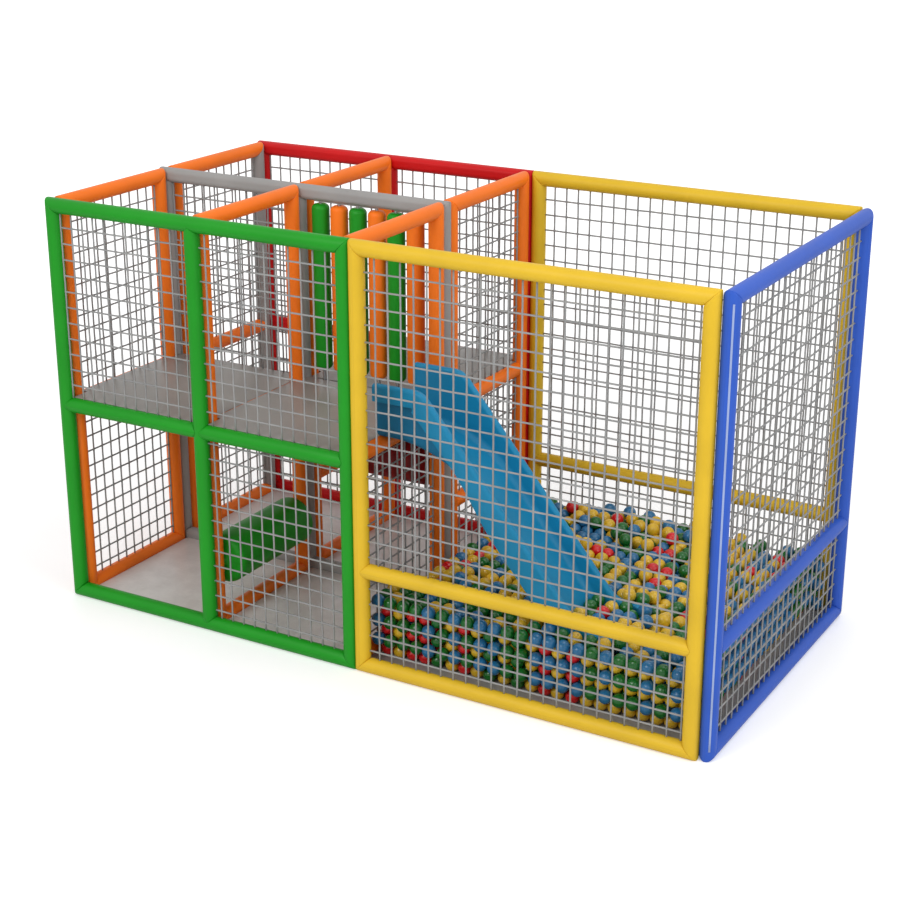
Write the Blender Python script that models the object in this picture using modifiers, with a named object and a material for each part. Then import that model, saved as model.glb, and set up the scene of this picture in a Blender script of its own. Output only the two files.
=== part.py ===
"""Ball pit with slide: a padded-tube play tower joined to a netted pit of balls.

World metres, +Z up, +X from the tower to the pit, -Y is the front.
The origin is the middle of the floor area that the whole structure covers.
"""
import math

import bmesh
import bpy
from mathutils import Matrix, Vector

# Padded tube frames
TUBE_D = 0.090
MODULE_W = 1.986
BAY_DEPTH = 1.037
LEVEL_H = 1.200
PIT_RAIL_H = 0.575
FRAME_STEP = 0.080
END_FRAME_W = 1.980
END_FRAME_INSET = 0.040
FLOOR_FLAT = 0.003
TUBE_SIDES = 16
# Inner posts, then inner beams, are this much slimmer so that joined skins cross cleanly
JOINT_STEP = 0.0005

# Nets
STRAND_W = 0.010
STRAND_T = 0.007
NET_PITCH = 0.260

# Decks and floor mats
DECK_T = 0.033
DECK_LAP = 0.009
DECK_EDGE_SPACE = 0.065
DECK_SKIN_T = 0.003
MAT_T = 0.030

# Upright rollers
UPRIGHT_COUNT = 6
UPRIGHT_D = 0.106
UPRIGHT_PITCH = 0.131
UPRIGHT_FIRST = 0.153
UPRIGHT_RAISE = 0.075
UPRIGHT_TOP_SPACE = 0.015
UPRIGHT_END_R = 0.030
ROD_D = 0.020
ROD_PLAY = 0.001
COLLAR_D = 0.040
COLLAR_T = 0.008

# Lying rollers
LYING_D = 0.300
LYING_END_R = 0.040
LYING_END_SPACE = 0.015
PIN_D = 0.034
PIN_DEPTH = 0.020
PIN_PLAY = 0.0005
GREEN_ROLLER_Z = 0.350
RED_ROLLER_Z = 0.857

# Slide
SLIDE_Y = 0.505
SLIDE_BEND_X = 0.074
SLIDE_BEND_R = 0.750
SLIDE_ANGLE = math.radians(50)
SLIDE_FOOT_Z = 0.310
SLIDE_FOOT_R = 0.300
SLIDE_FOOT_RUN = 0.095
SLIDE_SIDE_H = 0.115
SLIDE_GUARD_H = 0.370
SLIDE_GUARD_BEND_R = 0.120
SLIDE_BED_HALF = 0.200
SLIDE_RIM_HALF = 0.247
SLIDE_SKIRT_TOP = 0.098
SLIDE_SKIRT_UPPER = 0.118
SLIDE_SKIRT_LOWER = 0.155
SLIDE_RIM_R = 0.020
SLIDE_FILLET_R = 0.045
SLIDE_WALL_T = 0.006
SLIDE_BEND_STEPS = 5
SLIDE_SLOPE_STEPS = 4
SLIDE_CORNER_STEPS = 3

# Ball fill
FILL_H = 0.365
FILL_HEAP = 0.045
FILL_FRONT_SPACE = 0.112
FILL_END_SPACE = 0.098
FILL_CELLS_X = 14
FILL_CELLS_Y = 12
FILL_SLIDE_SPACE = 0.010

# Running gap left between two pieces that touch in the real thing
GAP = 0.0003

TUBE_R = TUBE_D / 2
BAY_W = MODULE_W / 2
LENGTH = 2 * MODULE_W + 2 * FRAME_STEP + TUBE_D
DEPTH = 2 * BAY_DEPTH + TUBE_D

# Post lines along X: left, centre and right of the tower, both ends of the pit frames, end frame
X_LEFT = -LENGTH / 2 + TUBE_R
X_CENTRE = X_LEFT + BAY_W
X_RIGHT = X_LEFT + MODULE_W
X_PIT = X_RIGHT + FRAME_STEP
X_PIT_END = X_PIT + MODULE_W
X_END = X_PIT_END + FRAME_STEP

# Frame planes along Y and beam lines up Z
Y_FRONT = -DEPTH / 2 + TUBE_R
Y_MIDDLE = Y_FRONT + BAY_DEPTH
Y_BACK = Y_MIDDLE + BAY_DEPTH
Z_FLOOR_BEAM = TUBE_R - FLOOR_FLAT
Z_RAIL = Z_FLOOR_BEAM + PIT_RAIL_H
Z_DECK_BEAM = Z_FLOOR_BEAM + LEVEL_H
Z_TOP = Z_FLOOR_BEAM + 2 * LEVEL_H

# Faces where two neighbouring tubes press on each other
HALF_STEP = FRAME_STEP / 2 - GAP / 2
FAR = 10.0

COLOURS = {
    "green": (30, 140, 35),
    "orange": (240, 115, 35),
    "grey": (155, 152, 148),
    "red": (215, 25, 25),
    "yellow": (226, 186, 52),
    "blue": (65, 105, 214),
    "net": (165, 168, 160),
    "deck": (140, 138, 133),
    "mat": (190, 185, 182),
    "pit_mat": (95, 90, 90),
    "steel": (150, 152, 155),
    "slide": (26, 120, 165),
    "balls": (55, 115, 165),
}


def linear(channel):
    """Turn a 0-255 sRGB channel into a linear value."""
    value = channel / 255
    if value <= 0.04045:
        return value / 12.92
    return ((value + 0.055) / 1.055) ** 2.4


def clear_scene():
    """Remove every object that the scene starts with."""
    for old in list(bpy.data.objects):
        bpy.data.objects.remove(old, do_unlink=True)


def new_collection(name):
    """Make a collection under the scene."""
    made = bpy.data.collections.new(name)
    bpy.context.scene.collection.children.link(made)
    return made


def new_material(name, colour, roughness, metallic):
    """Make a plain surface material."""
    material = bpy.data.materials.new(name)
    material.use_nodes = True
    shader = material.node_tree.nodes["Principled BSDF"]
    rgb = [linear(channel) for channel in COLOURS[colour]]
    shader.inputs["Base Color"].default_value = (*rgb, 1.0)
    shader.inputs["Roughness"].default_value = roughness
    shader.inputs["Metallic"].default_value = metallic
    material.diffuse_color = (*rgb, 1.0)
    return material


def add_part(name, mesh, colour, roughness=0.4, metallic=0.0, smooth=True):
    """Put a mesh in the part collection with its own material."""
    part = bpy.data.objects.new(name, mesh)
    PARTS.objects.link(part)
    mesh.materials.append(new_material(name + "_surface", colour, roughness, metallic))
    if smooth:
        mesh.shade_smooth()
    return part


def add_cutter(name, mesh):
    """Put a mesh in the cutter collection."""
    cutter = bpy.data.objects.new(name, mesh)
    cutter.hide_render = True
    cutter.display_type = "WIRE"
    CUTTERS.objects.link(cutter)
    return cutter


def combine(part, other, operation):
    """Add one exact Boolean to a part."""
    modifier = part.modifiers.new(operation.lower() + "_" + other.name, "BOOLEAN")
    modifier.operation = operation
    modifier.solver = "EXACT"
    modifier.object = other


def curve_mesh(name, curve):
    """Turn a curve into a welded mesh."""
    holder = bpy.data.objects.new(name, curve)
    bpy.context.scene.collection.objects.link(holder)
    depsgraph = bpy.context.evaluated_depsgraph_get()
    mesh = bpy.data.meshes.new_from_object(holder.evaluated_get(depsgraph))
    bpy.data.objects.remove(holder, do_unlink=True)
    mesh.name = name
    welded = bmesh.new()
    welded.from_mesh(mesh)
    bmesh.ops.remove_doubles(welded, verts=welded.verts, dist=1e-6)
    bmesh.ops.recalc_face_normals(welded, faces=welded.faces)
    welded.to_mesh(mesh)
    welded.free()
    return mesh


def add_spline(curve, points, closed):
    """Add a straight-sided spline to a flat curve."""
    spline = curve.splines.new("POLY")
    spline.points.add(len(points) - 1)
    for target, (across, up) in zip(spline.points, points):
        target.co = (across, up, 0.0, 1.0)
    spline.use_cyclic_u = closed


def tube_mesh(name, points, closed, radius=TUBE_R):
    """Sweep a round section along a flat path with mitred corners."""
    curve = bpy.data.curves.new(name, "CURVE")
    curve.dimensions = "2D"
    curve.fill_mode = "NONE"
    curve.bevel_depth = radius
    curve.bevel_resolution = (TUBE_SIDES - 4) // 2
    curve.use_fill_caps = True
    add_spline(curve, points, closed)
    return curve_mesh(name, curve)


def outline_mesh(name, outlines, thickness):
    """Extrude flat outlines, the first one outside and the others as holes."""
    curve = bpy.data.curves.new(name, "CURVE")
    curve.dimensions = "2D"
    curve.fill_mode = "BOTH"
    curve.extrude = thickness / 2
    for points in outlines:
        add_spline(curve, points, True)
    return curve_mesh(name, curve)


def prism_mesh(name, outline, thickness):
    """Extrude one flat outline between two undivided faces."""
    shape = bmesh.new()
    corners = [shape.verts.new((across, up, -thickness / 2)) for across, up in outline]
    shape.faces.new(corners)
    walls = bmesh.ops.extrude_face_region(shape, geom=list(shape.faces))
    raised = [item for item in walls["geom"] if isinstance(item, bmesh.types.BMVert)]
    bmesh.ops.translate(shape, verts=raised, vec=(0, 0, thickness))
    bmesh.ops.recalc_face_normals(shape, faces=shape.faces)
    mesh = bpy.data.meshes.new(name)
    shape.to_mesh(mesh)
    shape.free()
    return mesh


def rectangle(left, low, right, high):
    """Corners of a rectangle."""
    return [(left, low), (right, low), (right, high), (left, high)]


def box_mesh(name, low, high):
    """Make a box from two opposite corners."""
    low = Vector(low)
    high = Vector(high)
    mesh = bpy.data.meshes.new(name)
    shape = bmesh.new()
    place = Matrix.Translation((low + high) / 2) @ Matrix.Diagonal((*(high - low), 1.0))
    bmesh.ops.create_cube(shape, size=1.0, matrix=place)
    shape.to_mesh(mesh)
    shape.free()
    return mesh


def facing_y(y):
    """Placement of a flat drawing that spans X and Z at one Y."""
    return Matrix(((1, 0, 0, 0), (0, 0, -1, y), (0, 1, 0, 0), (0, 0, 0, 1)))


def facing_x(x):
    """Placement of a flat drawing that spans Y and Z at one X."""
    return Matrix(((0, 0, 1, x), (1, 0, 0, 0), (0, 1, 0, 0), (0, 0, 0, 1)))


def build_frame(name, colour, place, across, levels, low, high, posts=(), open_side=None):
    """Make one padded frame: a mitred loop with inner posts and beams, pressed flat on its box."""
    left, right = across
    bottom, top = levels[0], levels[-1]
    mesh = tube_mesh(name, rectangle(left, bottom, right, top), True)
    mesh.transform(place)
    frame = add_part(name, mesh, colour, 0.35)
    if open_side is not None:
        combine(frame, open_side, "DIFFERENCE")
        right -= TUBE_R + GAP
    inner = [("post", TUBE_R - JOINT_STEP, [(post, bottom), (post, top)]) for post in posts]
    inner += [("beam", TUBE_R - 2 * JOINT_STEP, [(left, level), (right, level)])
              for level in levels[1:-1]]
    for index, (kind, radius, points) in enumerate(inner):
        label = f"{name}_{kind}_{index}"
        extra = tube_mesh(label, points, False, radius)
        extra.transform(place)
        combine(frame, add_cutter(label, extra), "UNION")
    limit = add_cutter(name + "_limit", box_mesh(name + "_limit", low, high))
    combine(frame, limit, "INTERSECT")
    return frame


def build_net(name, place, across, up):
    """Make a net that fills the opening between four tubes."""
    edge = TUBE_R + GAP
    left, right = across[0] + edge, across[1] - edge
    low, high = up[0] + edge, up[1] - edge
    outlines = [rectangle(left, low, right, high)]
    columns = round((right - left) / NET_PITCH)
    rows = round((high - low) / NET_PITCH)
    step_x = (right - left - STRAND_W) / columns
    step_z = (high - low - STRAND_W) / rows
    for column in range(columns):
        for row in range(rows):
            start_x = left + STRAND_W + column * step_x
            start_z = low + STRAND_W + row * step_z
            outlines.append(rectangle(start_x, start_z,
                                      start_x + step_x - STRAND_W,
                                      start_z + step_z - STRAND_W))
    mesh = outline_mesh(name, outlines, STRAND_T)
    mesh.transform(place)
    return add_part(name, mesh, "net", 0.7, smooth=False)


def deck_outline(x_low, x_high, y_low, y_high, side, front, back):
    """Outline of a deck sheet that keeps clear of the posts in its four corners."""
    post = TUBE_R + GAP
    front_post = y_low + FRAME_STEP + post
    back_post = y_high - FRAME_STEP - post
    return [
        (x_low + post, y_low + front), (x_high - post, y_low + front),
        (x_high - post, front_post), (x_high - side, front_post),
        (x_high - side, back_post), (x_high - post, back_post),
        (x_high - post, y_high - back), (x_low + post, y_high - back),
        (x_low + post, back_post), (x_low + side, back_post),
        (x_low + side, front_post), (x_low + post, front_post),
    ]


def build_deck(name, x_low, x_high, y_low, y_high):
    """Make a deck board between the beams with a skin that laps over them."""
    board = deck_outline(x_low, x_high, y_low, y_high, TUBE_R - DECK_LAP, DECK_EDGE_SPACE, DECK_EDGE_SPACE)
    skin_low = Z_DECK_BEAM + TUBE_R + GAP
    board_t = DECK_T + GAP + DECK_SKIN_T / 2
    mesh = prism_mesh(name, board, board_t)
    mesh.transform(Matrix.Translation((0, 0, skin_low + DECK_SKIN_T / 2 - board_t / 2)))
    deck = add_part(name, mesh, "deck", 0.3, smooth=False)
    for side, x in (("left", x_low), ("right", x_high)):
        label = f"{name}_seat_{side}"
        seat = tube_mesh(label, [(y_low, Z_DECK_BEAM), (y_high, Z_DECK_BEAM)], False, TUBE_R + GAP)
        seat.transform(facing_x(x))
        combine(deck, add_cutter(label, seat), "DIFFERENCE")
    net = STRAND_T / 2 + GAP
    rod = ROD_D / 2 + GAP
    front, back = (net, rod) if y_high == Y_MIDDLE else (rod, net)
    skin = prism_mesh(name + "_skin", deck_outline(x_low, x_high, y_low, y_high, net, front, back),
                      DECK_SKIN_T)
    skin.transform(Matrix.Translation((0, 0, skin_low + DECK_SKIN_T / 2)))
    combine(deck, add_cutter(name + "_skin", skin), "UNION")
    return deck


def build_mat(name, colour, low, high):
    """Make a floor mat."""
    return add_part(name, box_mesh(name, (*low, 0.0), (*high, MAT_T)), colour, 0.5, smooth=False)


def arc(centre, radius, start, end, steps):
    """Points of an arc, angles in radians from the first axis."""
    turn = (end - start) / steps
    return [(centre[0] + radius * math.cos(start + turn * step),
             centre[1] + radius * math.sin(start + turn * step))
            for step in range(steps + 1)]


def turned(name, profile, closed, colour, roughness, metallic=0.0, sides=20):
    """Turn a profile of (radius, height) points about Z."""
    mesh = bpy.data.meshes.new(name)
    verts = [(radius, 0.0, height) for radius, height in profile]
    edges = [(index, index + 1) for index in range(len(verts) - 1)]
    if closed:
        edges.append((len(verts) - 1, 0))
    mesh.from_pydata(verts, edges, [])
    part = add_part(name, mesh, colour, roughness, metallic)
    screw = part.modifiers.new("turn", "SCREW")
    screw.axis = "Z"
    screw.steps = sides
    screw.render_steps = sides
    screw.use_merge_vertices = True
    screw.merge_threshold = 0.0001
    screw.use_smooth_shade = True
    return part


def build_upright_roller(index, x, colour):
    """Make one upright roller with its fixed rod."""
    low = Z_DECK_BEAM + TUBE_R + UPRIGHT_RAISE
    high = Z_TOP - TUBE_R - UPRIGHT_TOP_SPACE
    outer = UPRIGHT_D / 2
    bore = ROD_D / 2 + ROD_PLAY
    corner = outer - UPRIGHT_END_R
    profile = [(bore, high)]
    profile += reversed(arc((corner, high - UPRIGHT_END_R), UPRIGHT_END_R, 0, math.pi / 2, 3))
    profile += reversed(arc((corner, low + UPRIGHT_END_R), UPRIGHT_END_R, -math.pi / 2, 0, 3))
    profile += [(bore, low)]
    roller = turned(f"upright_roller_{index}", profile, True, colour, 0.3)
    roller.location = (x, Y_MIDDLE, 0.0)
    start = Z_DECK_BEAM + TUBE_R + GAP
    end = Z_TOP - TUBE_R - GAP
    rod_r = ROD_D / 2
    collar_r = COLLAR_D / 2
    collar_high = low - GAP
    collar_low = collar_high - COLLAR_T
    rod_profile = [(0.0, end), (rod_r, end), (rod_r, collar_high), (collar_r, collar_high),
                   (collar_r, collar_low), (rod_r, collar_low), (rod_r, start), (0.0, start)]
    rod = turned(f"roller_rod_{index}", rod_profile, False, "steel", 0.35, 1.0, sides=12)
    rod.location = (x, Y_MIDDLE, 0.0)


def build_lying_roller(name, colour, centre, span, turn):
    """Make a lying roller with a pin at each end that sits in the posts beside it."""
    half = span / 2 - TUBE_R
    body = half - LYING_END_SPACE
    pin_end = half + PIN_DEPTH - GAP
    outer = LYING_D / 2
    pin_r = PIN_D / 2
    corner = outer - LYING_END_R
    profile = [(0.0, pin_end), (pin_r, pin_end), (pin_r, body)]
    profile += reversed(arc((corner, body - LYING_END_R), LYING_END_R, 0, math.pi / 2, 3))
    profile += reversed(arc((corner, LYING_END_R - body), LYING_END_R, -math.pi / 2, 0, 3))
    profile += [(pin_r, -body), (pin_r, -pin_end), (0.0, -pin_end)]
    roller = turned(name, profile, False, colour, 0.3, sides=24)
    roller.matrix_world = Matrix.Translation(centre) @ turn
    return roller


def cut_pin_holes(frame, name, centre, span, turn):
    """Cut the two round sockets that carry a lying roller's pins."""
    reach = span / 2 - TUBE_R + PIN_DEPTH
    mesh = bpy.data.meshes.new(name)
    shape = bmesh.new()
    bmesh.ops.create_cone(shape, cap_ends=True, segments=16, radius1=PIN_D / 2 + PIN_PLAY,
                          radius2=PIN_D / 2 + PIN_PLAY, depth=2 * reach,
                          matrix=Matrix.Translation(centre) @ turn)
    shape.to_mesh(mesh)
    shape.free()
    combine(frame, add_cutter(name, mesh), "DIFFERENCE")


def slide_rows():
    """Side view of the slide: rows of bed point, rim point and skirt depth.

    A point is (x, z, normal x, normal z).
    """
    sin_a, cos_a, tan_half = math.sin(SLIDE_ANGLE), math.cos(SLIDE_ANGLE), math.tan(SLIDE_ANGLE / 2)
    bed_z = Z_DECK_BEAM + TUBE_R + GAP + SLIDE_WALL_T
    rim_z = Z_DECK_BEAM + SLIDE_GUARD_H
    bend_x = X_RIGHT + SLIDE_BEND_X
    slope_x = bend_x + SLIDE_BEND_R * sin_a
    slope_z = bed_z - SLIDE_BEND_R * (1 - cos_a)
    corner_x = slope_x + (slope_z - SLIDE_FOOT_Z) / math.tan(SLIDE_ANGLE)
    foot_x = corner_x + SLIDE_FOOT_R * tan_half
    rim_x = slope_x + SLIDE_SIDE_H * sin_a - (rim_z - slope_z - SLIDE_SIDE_H * cos_a) / math.tan(SLIDE_ANGLE)
    rim_bend_x = rim_x - SLIDE_GUARD_BEND_R * tan_half
    rows = [((X_RIGHT, bed_z, 0.0, 1.0), (X_RIGHT, rim_z, 0.0, 1.0), SLIDE_SKIRT_TOP)]
    for step in range(SLIDE_BEND_STEPS + 1):
        share = step / SLIDE_BEND_STEPS
        normal = (math.sin(SLIDE_ANGLE * share), math.cos(SLIDE_ANGLE * share))
        bed = (bend_x + SLIDE_BEND_R * normal[0], bed_z - SLIDE_BEND_R * (1 - normal[1]), *normal)
        rim = (rim_bend_x + SLIDE_GUARD_BEND_R * normal[0],
               rim_z - SLIDE_GUARD_BEND_R * (1 - normal[1]), *normal)
        rows.append((bed, rim, SLIDE_SKIRT_TOP + share * (SLIDE_SKIRT_UPPER - SLIDE_SKIRT_TOP)))
    foot_rows = []
    full_skirt = SLIDE_FOOT_Z + SLIDE_SIDE_H - MAT_T - GAP
    for step in range(SLIDE_BEND_STEPS + 1):
        share = step / SLIDE_BEND_STEPS
        angle = SLIDE_ANGLE * (1 - share)
        normal = (math.sin(angle), math.cos(angle))
        x = foot_x - SLIDE_FOOT_R * normal[0]
        z = SLIDE_FOOT_Z + SLIDE_FOOT_R * (1 - normal[1])
        rim = (x + SLIDE_SIDE_H * normal[0], z + SLIDE_SIDE_H * normal[1], *normal)
        foot_rows.append(((x, z, *normal), rim, SLIDE_SKIRT_LOWER + share * (full_skirt - SLIDE_SKIRT_LOWER)))
    above, below = rows[-1], foot_rows[0]
    for step in range(1, SLIDE_SLOPE_STEPS):
        share = step / SLIDE_SLOPE_STEPS
        bed = tuple(high + share * (low - high) for high, low in zip(above[0], below[0]))
        rim = tuple(high + share * (low - high) for high, low in zip(above[1], below[1]))
        skirt = SLIDE_SKIRT_UPPER + min(1.0, 2 * share) * (SLIDE_SKIRT_LOWER - SLIDE_SKIRT_UPPER)
        rows.append((bed, rim, skirt))
    rows += foot_rows
    end_x = foot_x + SLIDE_FOOT_RUN
    end_rim_z = SLIDE_FOOT_Z + SLIDE_SIDE_H
    rows.append(((end_x, SLIDE_FOOT_Z, 0.0, 1.0), (end_x, end_rim_z, 0.0, 1.0), full_skirt))
    return rows


def slide_section():
    """Half of the slide's section: (half width, line it follows, distance along the normal)."""
    quarter = math.pi / 2
    outer = arc((SLIDE_RIM_HALF - SLIDE_RIM_R, -SLIDE_RIM_R), SLIDE_RIM_R, 0, quarter, SLIDE_CORNER_STEPS)
    inner = arc((SLIDE_BED_HALF + SLIDE_RIM_R, -SLIDE_RIM_R), SLIDE_RIM_R, quarter, 2 * quarter,
                SLIDE_CORNER_STEPS)
    fillet = arc((SLIDE_BED_HALF - SLIDE_FILLET_R, SLIDE_FILLET_R), SLIDE_FILLET_R, 0, -quarter,
                 SLIDE_CORNER_STEPS)
    half = [(SLIDE_RIM_HALF, "skirt", 0.0)]
    half += [(across, "rim", up) for across, up in outer + inner]
    half += [(across, "bed", up) for across, up in fillet]
    return half


def build_slide():
    """Loft the slide's section along its side lines and give the skin its thickness."""
    half = slide_section()
    section = [(-across, line, up) for across, line, up in half]
    section += [(across, line, up) for across, line, up in reversed(half)]
    shape = bmesh.new()
    rows = []
    for bed, rim, skirt in slide_rows():
        row = []
        for across, line, up in section:
            x, z, normal_x, normal_z = bed if line == "bed" else rim
            rise = -skirt if line == "skirt" else up
            row.append(shape.verts.new((x + rise * normal_x, Y_FRONT + SLIDE_Y + across,
                                        z + rise * normal_z)))
        rows.append(row)
    for first, second in zip(rows, rows[1:]):
        for index in range(len(section) - 1):
            shape.faces.new((first[index], second[index], second[index + 1], first[index + 1]))
    mesh = bpy.data.meshes.new("slide")
    shape.to_mesh(mesh)
    shape.free()
    slide = add_part("slide", mesh, "slide", 0.25)
    skin = slide.modifiers.new("skin", "SOLIDIFY")
    skin.thickness = SLIDE_WALL_T
    skin.offset = -1.0
    skin.use_even_offset = True
    return slide


def build_ball_fill():
    """Make the body of balls as one heaped block with a trench for the slide."""
    low_x, high_x = X_RIGHT + TUBE_R + GAP, X_END - FILL_END_SPACE
    low_y, high_y = Y_FRONT + FILL_FRONT_SPACE, Y_BACK - TUBE_R - GAP
    size = Vector((high_x - low_x, high_y - low_y, 1.0))
    middle = Vector(((low_x + high_x) / 2, (low_y + high_y) / 2, FILL_H))
    shape = bmesh.new()
    bmesh.ops.create_grid(shape, x_segments=FILL_CELLS_X, y_segments=FILL_CELLS_Y, size=0.5,
                          matrix=Matrix.Translation(middle) @ Matrix.Diagonal((*size, 1.0)))
    for vert in shape.verts:
        share_x = (vert.co.x - low_x) / size.x
        share_y = (vert.co.y - low_y) / size.y
        heap = math.sin(3 * math.pi * share_x) * math.cos(2 * math.pi * share_y)
        vert.co.z += FILL_HEAP * heap
    walls = bmesh.ops.extrude_face_region(shape, geom=list(shape.faces))
    for item in walls["geom"]:
        if isinstance(item, bmesh.types.BMVert):
            item.co.z = MAT_T + GAP
    bmesh.ops.recalc_face_normals(shape, faces=shape.faces)
    mesh = bpy.data.meshes.new("ball_fill")
    shape.to_mesh(mesh)
    shape.free()
    fill = add_part("ball_fill", mesh, "balls", 0.4, smooth=False)
    rows = slide_rows()[1:]
    side = [(x - (skirt + FILL_SLIDE_SPACE) * normal_x, z - (skirt + FILL_SLIDE_SPACE) * normal_z)
            for bed, (x, z, normal_x, normal_z), skirt in rows]
    end_x = side[-1][0] + FILL_SLIDE_SPACE
    high_z = Z_DECK_BEAM + SLIDE_GUARD_H
    side += [(end_x, side[-1][1]), (end_x, high_z), (side[0][0], high_z)]
    trench = prism_mesh("slide_trench", side, 2 * (SLIDE_RIM_HALF + FILL_SLIDE_SPACE))
    trench.transform(facing_y(Y_FRONT + SLIDE_Y))
    combine(fill, add_cutter("slide_trench", trench), "DIFFERENCE")
    return fill


def build_frames():
    """Build the thirteen padded tube pieces."""
    tower_x = (X_LEFT, X_RIGHT)
    tower_levels = (Z_FLOOR_BEAM, Z_DECK_BEAM, Z_TOP)
    pit_levels = (Z_FLOOR_BEAM, Z_RAIL, Z_TOP)
    tower_edge = X_RIGHT + HALF_STEP
    pit_edge = X_PIT - HALF_STEP
    build_frame("front_frame", "green", facing_y(Y_FRONT), tower_x, tower_levels,
                (-FAR, -FAR, 0), (tower_edge, Y_FRONT + HALF_STEP, FAR), (X_CENTRE,))
    build_frame("back_frame", "red", facing_y(Y_BACK), tower_x, tower_levels,
                (-FAR, Y_BACK - HALF_STEP, 0), (tower_edge, FAR, FAR), (X_CENTRE,))
    middle = build_frame("middle_frame", "grey", facing_y(Y_MIDDLE), tower_x, tower_levels,
                         (-FAR, Y_MIDDLE - HALF_STEP, 0), (FAR, Y_MIDDLE + HALF_STEP, FAR),
                         (X_CENTRE,))
    for name, y in (("pit_front_frame", Y_FRONT), ("pit_back_frame", Y_BACK)):
        build_frame(name, "yellow", facing_y(y), (X_PIT, X_PIT_END), pit_levels,
                    (pit_edge, -FAR, 0), (X_PIT_END + HALF_STEP, FAR, FAR))
    end_start = Y_FRONT + END_FRAME_INSET
    build_frame("pit_end_frame", "blue", facing_x(X_END), (end_start, end_start + END_FRAME_W),
                pit_levels, (X_END - HALF_STEP, -FAR, 0), (FAR, FAR, FAR))
    for side, x in (("left", X_LEFT), ("centre", X_CENTRE), ("right", X_RIGHT)):
        for bay, y in (("front", Y_FRONT), ("back", Y_MIDDLE)):
            low = y + FRAME_STEP - HALF_STEP
            high = y + BAY_DEPTH - FRAME_STEP + HALF_STEP
            across = (y + FRAME_STEP, y + BAY_DEPTH - FRAME_STEP)
            levels = tower_levels
            if bay == "back" and side != "left":
                levels = (Z_FLOOR_BEAM, Z_RAIL, Z_DECK_BEAM, Z_TOP)
            open_side = None
            if (side, bay) == ("left", "back"):
                open_side = mitre_cutter("left_back_mitre", across[1], -GAP)
            frame = build_frame(f"{side}_{bay}_frame", "orange", facing_x(x), across, levels,
                                (-FAR, low, 0), (FAR, high, FAR), (), open_side)
            if (side, bay) == ("centre", "front"):
                cut_pin_holes(frame, "green_pin_holes", green_roller_centre(), across[1] - across[0],
                              ALONG_Y)
    cut_pin_holes(middle, "red_pin_holes", red_roller_centre(), BAY_W, ALONG_X)
    build_left_back_post()


def mitre_cutter(name, post_y, inset):
    """Make the block that parts the grey post from the orange tubes at its mitred ends."""
    inner = post_y - TUBE_D + inset
    outer = post_y + TUBE_D + inset
    side = [(inner, Z_FLOOR_BEAM + TUBE_D), (outer, Z_FLOOR_BEAM - TUBE_D),
            (outer, Z_TOP + TUBE_D), (inner, Z_TOP - TUBE_D)]
    mesh = prism_mesh(name, side, 2 * TUBE_D)
    mesh.transform(facing_x(X_LEFT))
    return add_cutter(name, mesh)


def build_left_back_post():
    """Build the single grey post that closes the left back bay."""
    across = (Y_MIDDLE + FRAME_STEP, Y_BACK - FRAME_STEP)
    mesh = tube_mesh("left_back_post", rectangle(across[0], Z_FLOOR_BEAM, across[1], Z_TOP), True)
    mesh.transform(facing_x(X_LEFT))
    post = add_part("left_back_post", mesh, "grey", 0.35)
    combine(post, mitre_cutter("left_back_post_mitre", across[1], GAP), "INTERSECT")
    low = (-FAR, Y_MIDDLE, 0)
    high = (FAR, across[1] + HALF_STEP, FAR)
    combine(post, add_cutter("left_back_post_limit", box_mesh("left_back_post_limit", low, high)),
            "INTERSECT")


def green_roller_centre():
    """Middle of the green lying roller."""
    return Vector((X_CENTRE, Y_FRONT + BAY_DEPTH / 2, Z_FLOOR_BEAM + GREEN_ROLLER_Z))


def red_roller_centre():
    """Middle of the red lying roller."""
    return Vector((X_CENTRE + BAY_W / 2, Y_MIDDLE, Z_FLOOR_BEAM + RED_ROLLER_Z))


def build_nets():
    """Close the bays that carry nets."""
    lower = (Z_FLOOR_BEAM, Z_DECK_BEAM)
    upper = (Z_DECK_BEAM, Z_TOP)
    left_bay = (X_LEFT, X_CENTRE)
    right_bay = (X_CENTRE, X_RIGHT)
    front_bay = (Y_FRONT + FRAME_STEP, Y_MIDDLE - FRAME_STEP)
    back_bay = (Y_MIDDLE + FRAME_STEP, Y_BACK - FRAME_STEP)
    pit_span = (X_PIT, X_PIT_END)
    end_start = Y_FRONT + END_FRAME_INSET
    end_span = (end_start, end_start + END_FRAME_W)
    front = facing_y(Y_FRONT)
    middle = facing_y(Y_MIDDLE)
    back = facing_y(Y_BACK)
    left = facing_x(X_LEFT)
    right = facing_x(X_RIGHT)
    panels = {
        "front_left_upper_net": (front, left_bay, upper),
        "front_right_upper_net": (front, right_bay, upper),
        "front_right_lower_net": (front, right_bay, lower),
        "middle_left_upper_net": (middle, left_bay, upper),
        "left_front_upper_net": (left, front_bay, upper),
        "left_front_lower_net": (left, front_bay, lower),
        "left_back_upper_net": (left, back_bay, upper),
        "left_back_lower_net": (left, back_bay, lower),
        "right_front_lower_net": (right, front_bay, lower),
        "right_back_upper_net": (right, back_bay, upper),
        "right_back_middle_net": (right, back_bay, (Z_RAIL, Z_DECK_BEAM)),
        "right_back_lower_net": (right, back_bay, (Z_FLOOR_BEAM, Z_RAIL)),
        "back_left_upper_net": (back, left_bay, upper),
        "back_right_upper_net": (back, right_bay, upper),
        "back_left_lower_net": (back, left_bay, lower),
        "back_right_lower_net": (back, right_bay, lower),
    }
    for side, place, span in (("front", front, pit_span), ("back", back, pit_span),
                              ("end", facing_x(X_END), end_span)):
        panels[f"pit_{side}_upper_net"] = (place, span, (Z_RAIL, Z_TOP))
        panels[f"pit_{side}_lower_net"] = (place, span, (Z_FLOOR_BEAM, Z_RAIL))
    for name, (place, across, up) in panels.items():
        build_net(name, place, across, up)


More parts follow.
